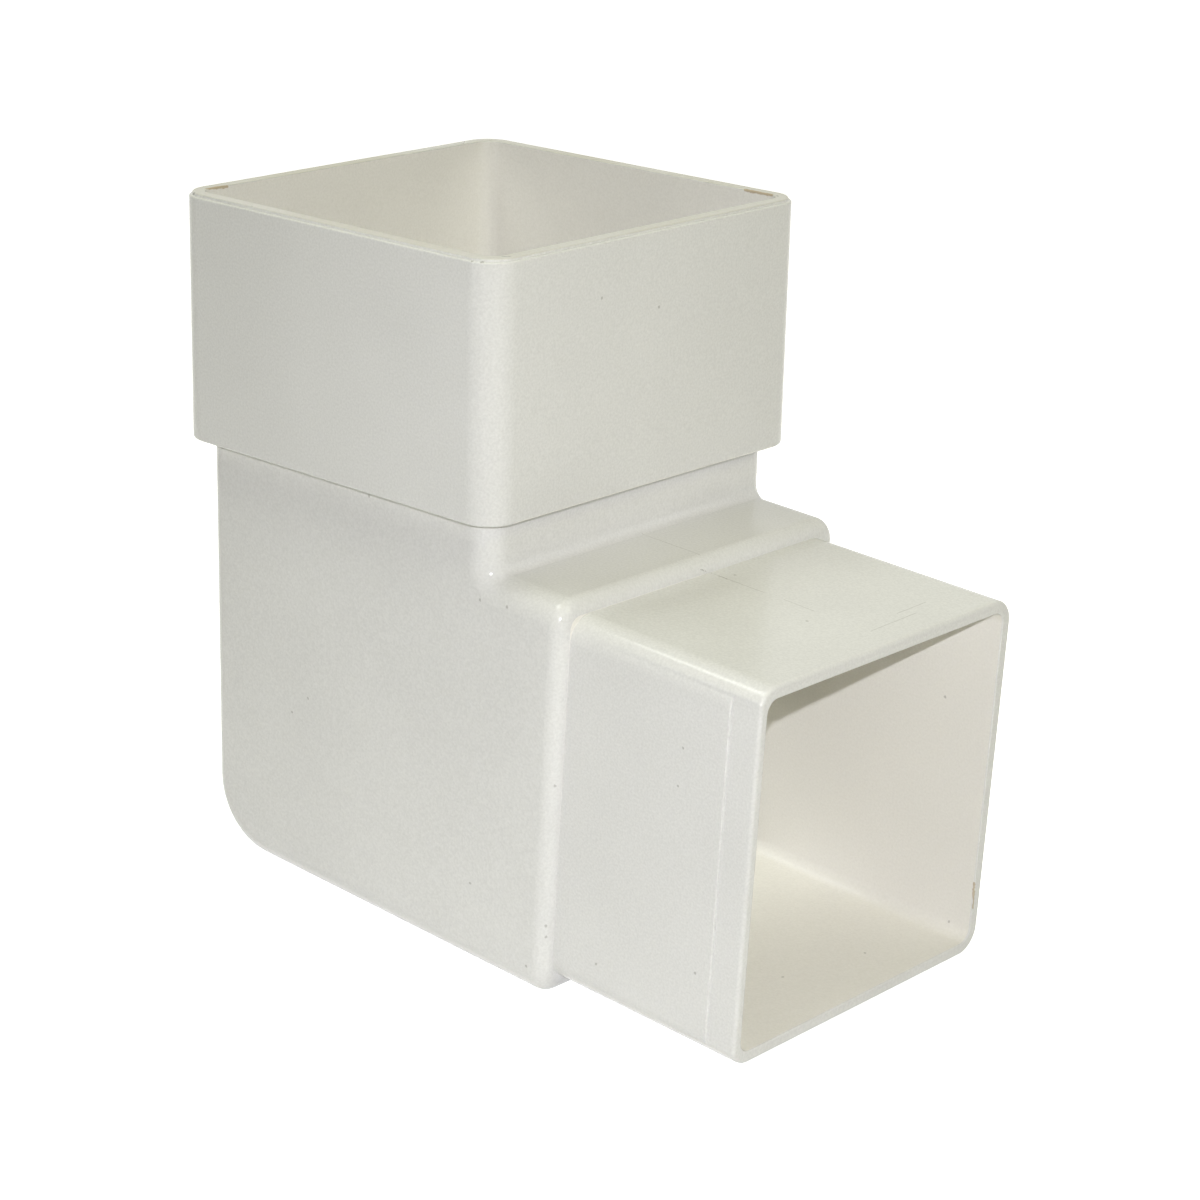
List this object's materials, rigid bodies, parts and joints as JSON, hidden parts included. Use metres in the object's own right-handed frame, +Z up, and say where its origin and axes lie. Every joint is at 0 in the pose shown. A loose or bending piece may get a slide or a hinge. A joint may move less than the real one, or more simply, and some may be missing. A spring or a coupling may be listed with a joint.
{
  "type": "downspout elbow",
  "caption": "Square plastic downspout elbow: a socket on top takes a downpipe, and a stepped square spigot turns the rainwater out sideways into the next pipe.",
  "frame": {"origin": "on the flat underside of the outlet arm, straight below the crossing of the two duct axes", "axes": "+X along the outlet, out of the spigot; +Z up, square to the underside; the socket opens upwards and leans 2.5 degrees back from the outlet"},
  "size_m": [0.1212, 0.0708, 0.1142],
  "materials": {
    "moulded_pvc": "semi-gloss moulded, grey-white"
  },
  "bodies": {
    "root": {"elbow": "moulded_pvc"}
  },
  "joints": []
}
